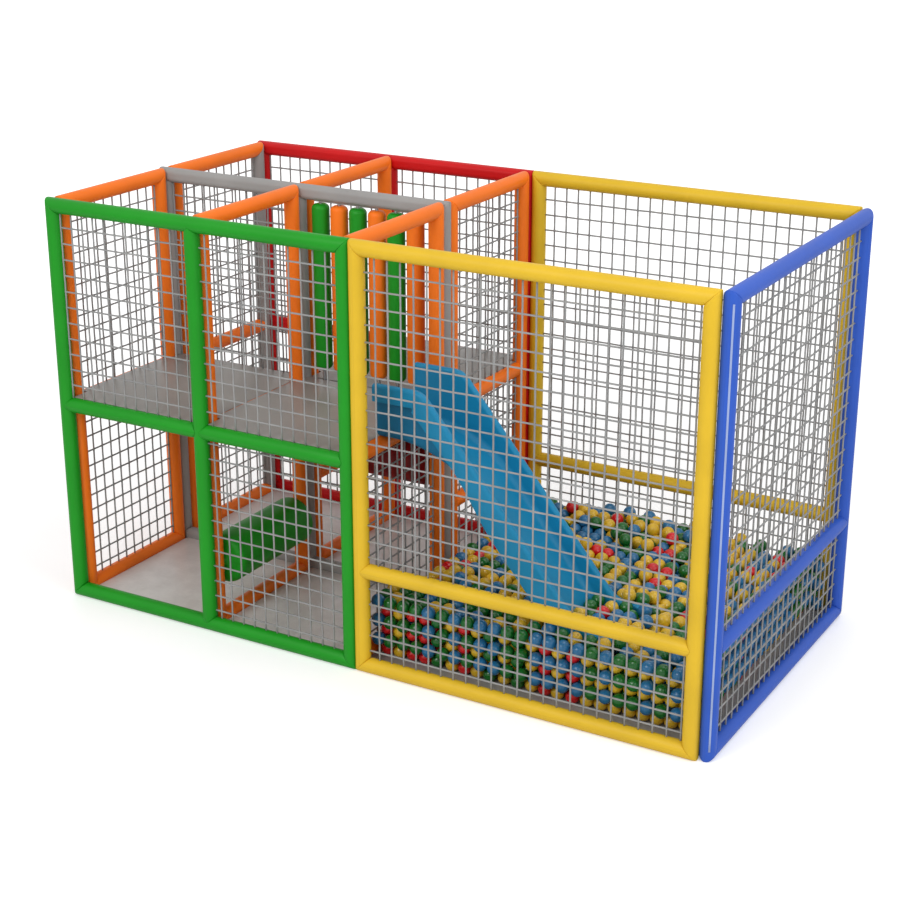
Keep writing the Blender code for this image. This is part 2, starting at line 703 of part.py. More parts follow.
def build_floors():
    """Build the three decks and the floor mats."""
    bays_x = (("left", X_LEFT, X_CENTRE), ("right", X_CENTRE, X_RIGHT))
    bays_y = (("front", Y_FRONT, Y_MIDDLE), ("back", Y_MIDDLE, Y_BACK))
    pressed = HALF_STEP + GAP
    flat_r = TUBE_R * math.cos(math.pi / TUBE_SIDES)
    round_edge = math.sqrt(flat_r ** 2 - (Z_FLOOR_BEAM - MAT_T) ** 2) + GAP
    for side, x_low, x_high in bays_x:
        for bay, y_low, y_high in bays_y:
            build_mat(f"{side}_{bay}_mat", "mat", (x_low + round_edge, y_low + pressed),
                      (x_high - round_edge, y_high - pressed))
            if (side, bay) != ("left", "back"):
                build_deck(f"{side}_{bay}_deck", x_low, x_high, y_low, y_high)
    build_mat("pit_mat", "pit_mat", (X_RIGHT + TUBE_R + GAP, Y_FRONT + round_edge),
              (X_END - pressed, Y_BACK - round_edge))


def build_rollers():
    """Build the upright rollers, their rods and the two lying rollers."""
    for index in range(UPRIGHT_COUNT):
        colour = ("green", "orange")[index % 2]
        build_upright_roller(index + 1, X_CENTRE + UPRIGHT_FIRST + index * UPRIGHT_PITCH, colour)
    build_lying_roller("green_roller", "green", green_roller_centre(), BAY_DEPTH - 2 * FRAME_STEP,
                       ALONG_Y)
    build_lying_roller("red_roller", "red", red_roller_centre(), BAY_W, ALONG_X)


ALONG_X = Matrix.Rotation(math.pi / 2, 4, "Y")
ALONG_Y = Matrix.Rotation(math.pi / 2, 4, "X")

clear_scene()
PARTS = new_collection("ball_pit_with_slide")
CUTTERS = new_collection("cutters")
build_frames()
build_nets()
build_floors()
build_rollers()
build_slide()
build_ball_fill()
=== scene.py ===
"""Looks of the ball pit with slide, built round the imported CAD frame."""

import math

import bmesh
import bpy
import numpy as np
from mathutils import Matrix, Vector
from mathutils.bvhtree import BVHTree


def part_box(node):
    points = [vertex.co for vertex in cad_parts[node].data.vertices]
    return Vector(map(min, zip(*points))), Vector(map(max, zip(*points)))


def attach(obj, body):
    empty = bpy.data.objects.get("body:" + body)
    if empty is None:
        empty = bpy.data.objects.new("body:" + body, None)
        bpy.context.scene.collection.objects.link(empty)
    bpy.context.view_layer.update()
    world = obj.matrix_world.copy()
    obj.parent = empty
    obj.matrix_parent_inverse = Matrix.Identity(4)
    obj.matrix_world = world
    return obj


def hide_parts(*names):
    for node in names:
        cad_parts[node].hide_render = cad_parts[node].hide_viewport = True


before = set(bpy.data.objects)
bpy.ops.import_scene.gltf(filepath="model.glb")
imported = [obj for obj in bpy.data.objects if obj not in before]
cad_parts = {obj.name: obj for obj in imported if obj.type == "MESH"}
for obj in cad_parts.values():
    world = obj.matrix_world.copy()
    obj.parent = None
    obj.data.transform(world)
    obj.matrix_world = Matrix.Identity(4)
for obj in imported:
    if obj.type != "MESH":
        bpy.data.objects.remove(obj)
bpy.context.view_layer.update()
STRUCTURE = "structure"
QUARTER = math.pi / 2
FAR = 9.0  # beyond every point of the part

# Sizes that the CAD source also states, in metres
TUBE_R = 0.045
BAY_DEPTH = 1.037
STEP = 0.080
X_LEFT, X_CENTRE, X_RIGHT = -2.066, -1.073, -0.080
X_PIT, X_PIT_END, X_END = 0.0, 1.986, 2.066
Y_FRONT, Y_MIDDLE, Y_BACK = -BAY_DEPTH, 0.0, BAY_DEPTH
END_START, END_STOP = Y_FRONT + 0.040, Y_FRONT + 2.020
Z_LOW, Z_RAIL, Z_DECK, Z_TOP = 0.042, 0.617, 1.242, 2.442
MAT_TOP = 0.0303
PRESS = STEP / 2 - 0.00015  # from a tube's centre to where a neighbour presses it flat

# Sleeves: sides, length of a section, and (inset, share of the radius) of the rounded end
SLEEVE_SIDES = 32
SLEEVE_STEP = 0.25
SEAM_HALF = 0.012  # as a share of the way round
END_ROUNDING = ((0.0, 0.90), (0.002, 0.955), (0.006, 0.985), (0.014, 1.0))
FREE = (-FAR, FAR)
FLOOR = (0.0, FAR)

# Zip tape on the end frame's corner post
ZIP_ANGLES = (-66.0, -53.0)
ZIP_OUT, ZIP_IN = 0.0012, 0.0020
ZIP_INSET = 0.02

# Nets
STRAND_R = 0.0053
STRAND_SIDES = 5
KNOT_SWELL, WAIST = 1.06, 0.98  # shares of the radius at a knot and between two
KNOT_DRIFT = 0.0004
KNOT_OFFSET = 0.0008  # of crossing strands to either side of the net's plane
MESH_W = 0.0792
MESH_H = 0.0949
MESH_Z0 = Z_LOW - 0.004
TOWER_STRAND = X_LEFT + 0.0487
PIT_STRAND = X_LEFT + 2.175
SIDE_STRAND = Y_FRONT + 0.1963
NET_END = TUBE_R - 0.012  # where a strand ends, from the tube's centre
NET_CLEAR = 0.002

# Boards: edge radius by material
BOARD_EDGES = {"deck": 0.0012, "mat": 0.005, "pit_mat": 0.005}

# Rollers: radius, corner radius and bore, then how far a lying roller's pins stand out
UPRIGHT_ROLLER = (0.053, 0.030, 0.011)
LYING_ROLLER = (0.150, 0.040, 0.017)
PIN_OUT = 0.0347
CORNER_STEPS = 8

# Slide
SLIDE_Y = Y_FRONT + 0.505
SLIDE_ANGLE = math.radians(50)
SIDE_H = 0.115
WALL_T = 0.006
BED_HALF = 0.200
RIM_HALF = 0.247
RIM_R = 0.020
FILLET_R = 0.045
BED_Z = Z_DECK + TUBE_R + 0.0063
FOOT_Z = 0.310
RIM_Z = Z_DECK + 0.370
BED_BEND_X, BED_BEND_R = X_RIGHT + 0.074, 0.750
GUARD_R = 0.120
FOOT_R = 0.300
FOOT_FLAT = 0.095
SKIRT_TOP = 0.098
SKIRT_SHARES = (0.0, 0.295, 0.378, 0.460, 0.540, 1.0)
SKIRT_DEPTHS = (0.122, 0.108, 0.120, 0.137, 0.155, 0.155)
SKIRT_MID = 0.55  # a second point on the skirt, as a share of its depth
BEND_STEPS, RIM_STEPS = 12, 6
PLUG_GAP = 0.0012
PLUG_OUT, PLUG_IN = 0.004, 0.016
PLUG_FOOT_DEPTH = 0.090

# Balls: columns in two families half a step apart, the first on layers 1, 3 and 5
BALL_R = 0.040
BALL_LAYERS = (0.0703, 0.1363, 0.1946, 0.2529, 0.3112, 0.3695)
TOP_LAYER = len(BALL_LAYERS) - 1
SETTLED_LAYER = 9
LAYER_SCATTER = 0.0012
COLUMN_PITCH = 0.0850
COLUMN_SCATTER = 0.009
UNLIKE_REACH = 0.0552  # distance at which columns of different families touch
SECOND_ROW = 0.034  # how far the second family keeps behind the front row
PUSH_TURNS, PUSH_SHARE = 120, 0.42
CORNER_COLUMN = (1.960, 0.950)
AT_WALL = 0.06  # columns this near a wall are its outer row
SEEN_FROM_WALL = 0.10
SLIDE_GAP, REST_GAP = 0.002, 0.001  # of stacked and of dropped balls from the slide
HEM_SIDE, HEM_GAP = 0.012, 0.010  # of balls beside and below the skirts
RANGE_END = 0.001  # lets a range of places include its last one
PILE_SEED, TURN_SEED = 11, 5
TURN_AXIS = (0.6, 0.64, 0.48)

# Surface of the balls: height, centre, widths and power of each rise or dip
LEVEL = 0.442
TOWER_DIP, TOWER_DIP_W = 0.060, 0.30
TOWER_DIP_Y, TOWER_DIP_RUN = -0.80, 0.25
LEVEL_RISES = ((0.036, 0.70, 0.85, 0.6, 0.45, 2),
               (-0.045, 1.95, 0.95, 0.35, 0.35, 2),
               (0.050, 1.28, SLIDE_Y, 0.28, 0.44, 4))
LEVEL_NOISE = 0.017
DROP_STEP = 0.010
DROP_LOWEST = 0.29
VACANT_FROM, VACANT_SHARE, VACANT_STEPS = 0.345, 0.07, 2
SLIDE_REST_X = (0.70, 1.50)
SLIDE_REST_Z = (0.52, 0.30, -0.004)

# Shares of blue, yellow, green and red among the balls
WALL_SHARES = (0.60, 0.0, 0.40, 0.0)
FRONT_SHARES = (0.08, 0.68, 0.08, 0.16)
END_SHARES = (0.10, 0.18, 0.12, 0.60)
INNER_SHARES = (0.30, 0.35, 0.25, 0.10)
SETTLED_SHARES = (0.25, 0.42, 0.25, 0.08)

# Camera fitted to the photo, from the front left low corner of the tubes' centre lines; degrees
CAMERA_PLACE = (7.0645 + X_LEFT, -7.678 + Y_FRONT, 4.6028 + Z_LOW)
CAMERA_DOWN, CAMERA_TURN = 19.955, 30.013
CAMERA_LENS, CAMERA_SENSOR = 72.04, 36.0

# Lamps: name, place, target, size and power
LAMPS = (("key", (-0.9, -8.0, 6.6), (0.0, 0.0, 0.8), 5.0, 312.0),
         ("spark", (-4.0, -6.5, 8.0), (0.0, 0.0, 0.6), 0.9, 38.0),
         ("fill", (7.0, -3.0, 4.6), (0.5, 0.0, 0.8), 5.0, 165.0),
         ("top", (3.4, 0.6, 8.0), (1.0, 0.0, 0.0), 5.0, 95.0))
WHITE = (1.0, 1.0, 1.0, 1.0)
FLOOR_TONE = (0.86, 0.86, 0.86, 1.0)
FLOOR_HALF = 60
FLOOR_GLOW, FLOOR_FADE = (0.32, 0.65), (3.0, 9.0)
WORLD_LIGHT, WORLD_SEEN = 0.63, 1.0


# Materials

def srgb(red, green, blue):
    """Linear colour of an sRGB one."""
    def one(channel):
        value = channel / 255
        return value / 12.92 if value <= 0.04045 else ((value + 0.055) / 1.055) ** 2.4
    return (one(red), one(green), one(blue), 1.0)


def shade(colour, factor):
    """A lighter or darker copy of a colour."""
    return (*[min(1.0, channel * factor) for channel in colour[:3]], 1.0)


COLOURS = {
    "green": srgb(24, 142, 28),
    "orange": srgb(246, 120, 28),
    "grey": srgb(150, 148, 146),
    "red": srgb(200, 18, 22),
    "yellow": srgb(216, 177, 42),
    "blue": srgb(47, 88, 186),
}
BALL_COLOURS = {
    "blue": srgb(40, 112, 160),
    "yellow": srgb(222, 180, 44),
    "green": srgb(22, 104, 38),
    "red": srgb(214, 28, 34),
}


class Tree:
    """Adds and links the nodes of one tree."""

    def __init__(self, tree):
        self.tree = tree

    def wire(self, socket, value):
        """Link a socket, or give it a plain value."""
        if isinstance(value, bpy.types.NodeSocket):
            self.tree.links.new(value, socket)
        else:
            socket.default_value = value

    def add(self, kind, inputs=None, **settings):
        """A new node with its settings made and its inputs wired."""
        node = self.tree.nodes.new(kind)
        for key, value in settings.items():
            setattr(node, key, value)
        for key, value in (inputs or {}).items():
            self.wire(node.inputs[key], value)
        return node


class Material(Tree):
    """A new material and the nodes that it's made of."""

    def __init__(self, name):
        self.material = bpy.data.materials.new(name)
        self.material.use_nodes = True
        super().__init__(self.material.node_tree)
        self.shader = self.tree.nodes["Principled BSDF"]

    def set(self, name, value):
        self.wire(self.shader.inputs[name], value)

    def place(self):
        return self.add("ShaderNodeTexCoord").outputs["Object"]

    def noise(self, place, scale, detail=3.0, roughness=0.5):
        node = self.add("ShaderNodeTexNoise", {"Vector": place, "Scale": scale,
                                               "Detail": detail, "Roughness": roughness})
        return node.outputs["Fac"]

    def ramp(self, factor, stops):
        node = self.add("ShaderNodeValToRGB", {"Fac": factor})
        for element, (place, colour) in zip(node.color_ramp.elements, stops):
            element.position = place
            element.color = colour
        return node.outputs["Color"]

    def mix(self, factor, first, second, blend="MIX"):
        node = self.add("ShaderNodeMix", {"Factor": factor, 6: first, 7: second},
                        data_type="RGBA", blend_type=blend)
        return node.outputs[2]

    def span(self, value, low, high, start=0.0, end=1.0):
        node = self.add("ShaderNodeMapRange", {"Value": value, "From Min": start, "From Max": end,
                                               "To Min": low, "To Max": high})
        return node.outputs["Result"]

    def bump(self, height, strength, distance, normal=None):
        inputs = {"Height": height, "Strength": strength, "Distance": distance}
        if normal is not None:
            inputs["Normal"] = normal
        return self.add("ShaderNodeBump", inputs).outputs["Normal"]

    def seam(self):
        """A line along the sleeve, 1 on the seam and 0 beside it."""
        uv = self.add("ShaderNodeUVMap", uv_map="sleeve").outputs["UV"]
        around = self.add("ShaderNodeSeparateXYZ", {"Vector": uv}).outputs["X"]
        off = self.add("ShaderNodeMath", {0: around, 1: 0.5}, operation="SUBTRACT").outputs[0]
        off = self.add("ShaderNodeMath", {0: off}, operation="ABSOLUTE").outputs[0]
        return self.span(off, 1.0, 0.0, start=0.0, end=SEAM_HALF)


def vinyl(name, colour, rough=0.42, seam=True, rings=False):
    """Glossy coated fabric over foam: faint grain, soft dents, and a welded seam or darker bands
    that repeat along x.
    """
    nodes = Material(name)
    place = nodes.place()
    cloud = nodes.noise(place, 3.0, detail=3.0)
    grain = nodes.noise(place, 900.0, detail=2.0)
    dents = nodes.noise(place, 14.0, detail=2.0)
    tone = nodes.ramp(cloud, [(0.30, shade(colour, 0.93)), (0.70, shade(colour, 1.05))])
    normal = nodes.bump(dents, strength=0.25, distance=0.004)
    normal = nodes.bump(grain, strength=0.12, distance=0.0004, normal=normal)
    if seam:
        line = nodes.seam()
        tone = nodes.mix(line, tone, shade(colour, 0.93))
        normal = nodes.bump(line, strength=0.25, distance=0.0010, normal=normal)
    # Darker wave bands that repeat along x, multiplied into the tone
    if rings:
        wave = nodes.add("ShaderNodeTexWave", {"Vector": place, "Scale": 5.6, "Distortion": 0.3},
                         bands_direction="X")
        tone = nodes.mix(0.45, tone, wave.outputs["Color"], blend="MULTIPLY")
    nodes.set("Base Color", tone)
    nodes.set("Roughness", nodes.span(cloud, rough - 0.04, rough + 0.06))
    nodes.set("Normal", normal)
    nodes.set("Specular IOR Level", 0.22)
    return nodes.material


def cord_material(name):
    """Twisted grey plastic cord."""
    nodes = Material(name)
    place = nodes.place()
    cloud = nodes.noise(place, 6.0, detail=2.0)
    twist = nodes.add("ShaderNodeTexWave", {"Vector": place, "Scale": 90.0, "Distortion": 1.5},
                      bands_direction="DIAGONAL")
    tones = [(0.3, srgb(136, 136, 136)), (0.7, srgb(154, 154, 153))]
    nodes.set("Base Color", nodes.ramp(cloud, tones))
    nodes.set("Roughness", 0.7)
    nodes.set("Specular IOR Level", 0.2)
    nodes.set("Normal", nodes.bump(twist.outputs["Fac"], strength=0.2, distance=0.0005))
    return nodes.material


def mottled(name, dark, light, rough):
    """Padded vinyl sheet with a cloudy, speckled tone."""
    nodes = Material(name)
    place = nodes.place()
    cloud = nodes.noise(place, 9.0, detail=8.0, roughness=0.68)
    speck = nodes.noise(place, 160.0, detail=3.0, roughness=0.7)
    soft = nodes.noise(place, 5.0, detail=2.0)
    tone = nodes.ramp(cloud, [(0.34, dark), (0.66, light)])
    nodes.set("Base Color", nodes.mix(nodes.span(speck, 0.0, 0.35), tone, dark))
    nodes.set("Roughness", nodes.span(cloud, rough - 0.06, rough + 0.08))
    normal = nodes.bump(soft, strength=0.25, distance=0.006)
    nodes.set("Normal", nodes.bump(speck, strength=0.15, distance=0.0005, normal=normal))
    return nodes.material


def slide_material(name, dark, light, rough):
    """Moulded blue plastic with a faint orange-peel skin."""
    nodes = Material(name)
    place = nodes.place()
    cloud = nodes.noise(place, 4.0, detail=4.0)
    peel = nodes.noise(place, 120.0, detail=2.0)
    nodes.set("Base Color", nodes.ramp(cloud, [(0.30, dark), (0.70, light)]))
    nodes.set("Roughness", nodes.span(cloud, rough - 0.05, rough + 0.05))
    nodes.set("Specular IOR Level", 0.3)
    nodes.set("Normal", nodes.bump(peel, strength=0.08, distance=0.0008))
    return nodes.material


def ball_material(name, colour):
    """Blown plastic ball, with a slight change of tint from place to place."""
    nodes = Material(name)
    cloud = nodes.noise(nodes.place(), 7.0, detail=2.0)
    tones = [(0.3, shade(colour, 0.86)), (0.7, shade(colour, 1.12))]
    nodes.set("Base Color", nodes.ramp(cloud, tones))
    nodes.set("Roughness", 0.17)
    return nodes.material


def steel_material(name):
    """Drawn steel rod."""
    nodes = Material(name)
    cloud = nodes.noise(nodes.place(), 60.0, detail=3.0)
    nodes.set("Base Color", srgb(170, 172, 175))
    nodes.set("Metallic", 1.0)
    nodes.set("Roughness", nodes.span(cloud, 0.28, 0.42))
    return nodes.material


MATERIALS = {name: vinyl(f"{name}_vinyl", colour) for name, colour in COLOURS.items()}
MATERIALS |= {
    "net": cord_material("net_cord"),
    "zip": vinyl("zip_tape", srgb(150, 166, 206), rough=0.5, seam=False),
    "deck": vinyl("deck_vinyl", srgb(142, 140, 136), rough=0.30, seam=False),
    "mat": mottled("mat_vinyl", srgb(198, 194, 191), srgb(216, 213, 210), rough=0.34),
    "pit_mat": mottled("pit_mat_vinyl", srgb(142, 138, 134), srgb(160, 156, 152), rough=0.40),
    "slide": slide_material("slide_plastic", srgb(18, 130, 174), srgb(24, 138, 184), rough=0.40),
    # Painted shade: a darker copy of the slide plastic for the back of the skin, where the wall
    # shows below the skirts and under the rims
    "slide_back_painted_shade": slide_material("slide_plastic_back_painted_shade", srgb(16, 106, 146), srgb(20, 114, 156),
                                 rough=0.60),
    # Red darkened below the frames' red as painted shade for the roller's place under the deck
    "red_roller": vinyl("red_roller_shaded_vinyl", srgb(140, 10, 14), rough=0.5, seam=False, rings=True),
    "steel": steel_material("steel"),
}
SLOTS = {name: f"{name}_vinyl" for name in (*COLOURS, "deck", "mat", "pit_mat")}
SLOTS |= {"net": "net_cord", "slide": "slide_plastic"}


# Mesh helpers

def put(name, data):
    """A new object in the scene."""
    thing = bpy.data.objects.new(name, data)
    bpy.context.scene.collection.objects.link(thing)
    return thing


def stands_for(piece, slot, *nodes, body=STRUCTURE):
    """Ride a piece on its body in place of its CAD nodes."""
    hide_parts(*nodes)
    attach(piece, body)


def round_edges(piece, width, segments, degrees):
    """Round every edge that turns by more than an angle."""
    edge = piece.modifiers.new("edge", "BEVEL")
    edge.width = width
    edge.segments = segments
    edge.limit_method = "ANGLE"
    edge.angle_limit = math.radians(degrees)


def circle_about(axis, sides):
    """Points of a unit circle square to an axis."""
    helper = np.array((0.0, 0.0, 1.0)) if abs(axis[2]) < 0.5 else np.array((1.0, 0.0, 0.0))
    across = np.cross(helper, axis)
    across /= np.linalg.norm(across)
    turn = np.arange(sides) * 2 * math.pi / sides
    return np.outer(np.cos(turn), across) + np.outer(np.sin(turn), np.cross(axis, across))


def arc(centre, radius, start, end, steps):
    """Points of a flat arc between two angles."""
    angles = [start + (end - start) * step / steps for step in range(steps + 1)]
    return [(centre[0] + radius * math.cos(angle), centre[1] + radius * math.sin(angle))
            for angle in angles]


def middle_of(box):
    """Centre of a box given by its low and its high corner."""
    return [(low + high) / 2 for low, high in zip(*box)]


class Plane:
    """An upright plane: u runs level in it, v upwards and n out of it."""

    def __init__(self, u, base):
        self.u, self.base = np.array(u, float), np.array(base, float)
        self.v = np.array((0.0, 0.0, 1.0))
        self.n = np.cross(self.u, self.v)

    def at(self, a, b, c=0.0):
        return self.base + a * self.u + b * self.v + c * self.n


def facing_y(y):
    """Plane of a front, middle or back frame."""
    return Plane((1, 0, 0), (0, y, 0))


def facing_x(x):
    """Plane of a side or end frame."""
    return Plane((0, 1, 0), (x, 0, 0))


class Shape:
    """Collects closed tubes, skinned from rings of points, into one mesh with a sleeve UV map."""

    def __init__(self):
        self.verts = []
        self.faces = []
        self.uvs = []

    def rings(self, rings, along):
        """Skin a list of rings that share a count of points, with a cap at each end."""
        first = len(self.verts)
        count = len(rings[0])
        for ring in rings:
            self.verts.extend(map(tuple, ring))
        for row in range(len(rings) - 1):
            low = first + row * count
            high = low + count
            for side in range(count):
                after = (side + 1) % count
                self.faces.append((low + side, low + after, high + after, high + side))
                left, right = side / count, (side + 1) / count
                self.uvs += [(left, along[row]), (right, along[row]),
                             (right, along[row + 1]), (left, along[row + 1])]
        last = first + (len(rings) - 1) * count
        self.faces.append(tuple(reversed(range(first, first + count))))
        self.faces.append(tuple(range(last, last + count)))
        self.uvs += [(0.0, along[0])] * count + [(0.0, along[-1])] * count

    def press(self, limits):
        """Press the points flat at the least and the most value of each axis."""
        least, most = np.array(limits).T
        self.verts = [tuple(point) for point in np.clip(np.array(self.verts), least, most)]

    def make(self, name, material):
        mesh = bpy.data.meshes.new(name)
        mesh.from_pydata(self.verts, [], self.faces)
        layer = mesh.uv_layers.new(name="sleeve")
        layer.data.foreach_set("uv", np.array(self.uvs, dtype=np.float32).ravel())
        mesh.materials.append(MATERIALS[material])
        mesh.shade_smooth()
        return put(name, mesh)


# Padded frames

def sleeve(shape, start, end, start_cut, end_cut):
    """One padded tube between two points. A cut is a mitre or a saddle on a crossing tube."""
    start, end = np.array(start, float), np.array(end, float)
    length = float(np.linalg.norm(end - start))
    axis = (end - start) / length
    circle = circle_about(axis, SLEEVE_SIDES) * TUBE_R

    def shift(offsets, cut):
        kind, vector = cut
        along = offsets @ np.array(vector, float)
        if kind == "mitre":
            return along
        return np.sqrt(np.maximum(TUBE_R ** 2 - along ** 2, 0.0))

    rings, places = [], []
    for inset, scale in END_ROUNDING:
        offsets = circle * scale
        rings.append(start + offsets + np.outer(inset + shift(offsets, start_cut), axis))
        places.append(inset)
    steps = max(1, round(length / SLEEVE_STEP))
    for step in range(1, steps):
        rings.append(start + circle + axis * length * step / steps)
        places.append(length * step / steps)
    for inset, scale in reversed(END_ROUNDING):
        offsets = circle * scale
        rings.append(end + offsets - np.outer(inset + shift(offsets, end_cut), axis))
        places.append(length - inset)
    shape.rings(rings, places)


def padded_frame(name, colour, plane, across, levels, limits, posts=(), skip_right=False):
    """The tubes of one frame: a mitred loop, inner posts and beams that butt on the posts."""
    left, right = across
    low, high = levels[0], levels[-1]
    shape = Shape()
    corners = [(left, low), (right, low), (right, high), (left, high)]
    ways = [plane.u, plane.v, -plane.u, -plane.v]
    for side in range(4):
        if side == 1 and skip_right:
            continue
        after = (side + 1) % 4
        sleeve(shape, plane.at(*corners[side]), plane.at(*corners[after]),
               ("mitre", -ways[side - 1]), ("mitre", ways[after]))
    butt = ("saddle", plane.n)
    for post in posts:
        sleeve(shape, plane.at(post, low), plane.at(post, high), butt, butt)
    lines = [left, *posts, right]
    for level in levels[1:-1]:
        for first, second in zip(lines, lines[1:]):
            sleeve(shape, plane.at(first, level), plane.at(second, level), butt, butt)
    shape.press(limits)
    piece = shape.make(name + "_sleeves", colour)
    stands_for(piece, colour, name)


def build_frames():
    """All padded tubes, pressed flat where neighbouring frames lie against each other."""
    tower = (Z_LOW, Z_DECK, Z_TOP)
    pit = (Z_LOW, Z_RAIL, Z_TOP)
    tower_x = (X_LEFT, X_RIGHT)
    edge = (-FAR, X_RIGHT + PRESS)
    padded_frame("front_frame", "green", facing_y(Y_FRONT), tower_x, tower,
                 (edge, (-FAR, Y_FRONT + PRESS), FLOOR), (X_CENTRE,))
    padded_frame("back_frame", "red", facing_y(Y_BACK), tower_x, tower,
                 (edge, (Y_BACK - PRESS, FAR), FLOOR), (X_CENTRE,))
    padded_frame("middle_frame", "grey", facing_y(Y_MIDDLE), tower_x, tower,
                 (FREE, (Y_MIDDLE - PRESS, Y_MIDDLE + PRESS), FLOOR), (X_CENTRE,))
    for name, y in (("pit_front_frame", Y_FRONT), ("pit_back_frame", Y_BACK)):
        padded_frame(name, "yellow", facing_y(y), (X_PIT, X_PIT_END), pit,
                     ((X_PIT - PRESS, X_PIT_END + PRESS), FREE, FLOOR))
    padded_frame("pit_end_frame", "blue", facing_x(X_END), (END_START, END_STOP), pit,
                 ((X_END - PRESS, FAR), FREE, FLOOR))
    for side, x in (("left", X_LEFT), ("centre", X_CENTRE), ("right", X_RIGHT)):
        for bay, y in (("front", Y_FRONT), ("back", Y_MIDDLE)):
            across = (y + STEP, y + BAY_DEPTH - STEP)
            railed = bay == "back" and side != "left"
            padded_frame(f"{side}_{bay}_frame", "orange", facing_x(x), across,
                         (Z_LOW, Z_RAIL, Z_DECK, Z_TOP) if railed else tower,
                         (FREE, (across[0] - PRESS, across[1] + PRESS), FLOOR),
                         skip_right=(side, bay) == ("left", "back"))
    shape = Shape()
    y = Y_BACK - STEP
    mitre = ("mitre", (0, -1, 0))
    sleeve(shape, (X_LEFT, y, Z_LOW), (X_LEFT, y, Z_TOP), mitre, mitre)
    shape.press((FREE, (-FAR, y + PRESS), FREE))
    post = shape.make("left_back_post_sleeve", "grey")
    stands_for(post, "grey", "left_back_post")


def build_zip():
    """Pale zip tape up the front corner post of the end frame."""
    def point(radius, angle, z):
        return (X_END + radius * math.cos(angle), END_START + radius * math.sin(angle), z)

    angles = np.radians(np.linspace(*ZIP_ANGLES, 5))
    heights = np.linspace(Z_LOW + ZIP_INSET, Z_TOP - ZIP_INSET, 25)
    rings = []
    for z in heights:
        outer = [point(TUBE_R + ZIP_OUT, angle, z) for angle in angles]
        inner = [point(TUBE_R - ZIP_IN, angle, z) for angle in reversed(angles)]
        rings.append(outer + inner)
    shape = Shape()
    shape.rings(rings, heights)
    piece = shape.make("pit_end_zip", "zip")
    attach(piece, STRUCTURE)


# Nets

def strand(shape, points, radii):
    """A thin cord through points, with straight sections between them."""
    points = np.array(points, float)
    axis = points[-1] - points[0]
    axis /= np.linalg.norm(axis)
    circle = circle_about(axis, STRAND_SIDES)
    rings = [point + circle * radius for point, radius in zip(points, radii)]
    shape.rings(rings, np.linalg.norm(points - points[0], axis=1))


def lines_within(first, pitch, low, high):
    """Evenly spaced lines that stay clear of the tubes on both sides."""
    clear = TUBE_R + NET_CLEAR
    lines = [first + pitch * step for step in range(-40, 80)]
    return [line for line in lines if low + clear < line < high - clear]


def build_net(name, plane, across, up, first, seed):
    """Cord net on the measured grid of strands, with a small uneven shift at each knot."""
    rng = np.random.default_rng(seed)
    left, right = across[0] + NET_END, across[1] - NET_END
    low, high = up[0] + NET_END, up[1] - NET_END
    columns = lines_within(first, MESH_W, *across)
    rows = lines_within(MESH_Z0, MESH_H, *up)
    drift_u = rng.normal(0.0, KNOT_DRIFT, (len(columns), len(rows)))
    drift_v = rng.normal(0.0, KNOT_DRIFT, (len(columns), len(rows)))
    at = plane.at
    shape = Shape()
    for i, a in enumerate(columns):
        points, radii = [at(a, low)], [STRAND_R]
        for j, b in enumerate(rows):
            points.append(at(a + drift_u[i, j], b + drift_v[i, j], KNOT_OFFSET))
            radii.append(STRAND_R * KNOT_SWELL)
            if j + 1 < len(rows):
                points.append(at(a + (drift_u[i, j] + drift_u[i, j + 1]) / 2, b + MESH_H / 2))
                radii.append(STRAND_R * WAIST)
        strand(shape, [*points, at(a, high)], [*radii, STRAND_R])
    for j, b in enumerate(rows):
        points, radii = [at(left, b)], [STRAND_R]
        for i, a in enumerate(columns):
            points.append(at(a + drift_u[i, j], b + drift_v[i, j], -KNOT_OFFSET))
            radii.append(STRAND_R * KNOT_SWELL)
            if i + 1 < len(columns):
                points.append(at(a + MESH_W / 2, b + (drift_v[i, j] + drift_v[i + 1, j]) / 2))
                radii.append(STRAND_R * WAIST)
        strand(shape, [*points, at(right, b)], [*radii, STRAND_R])
    piece = shape.make(name + "ting", "net")
    stands_for(piece, "net", name)


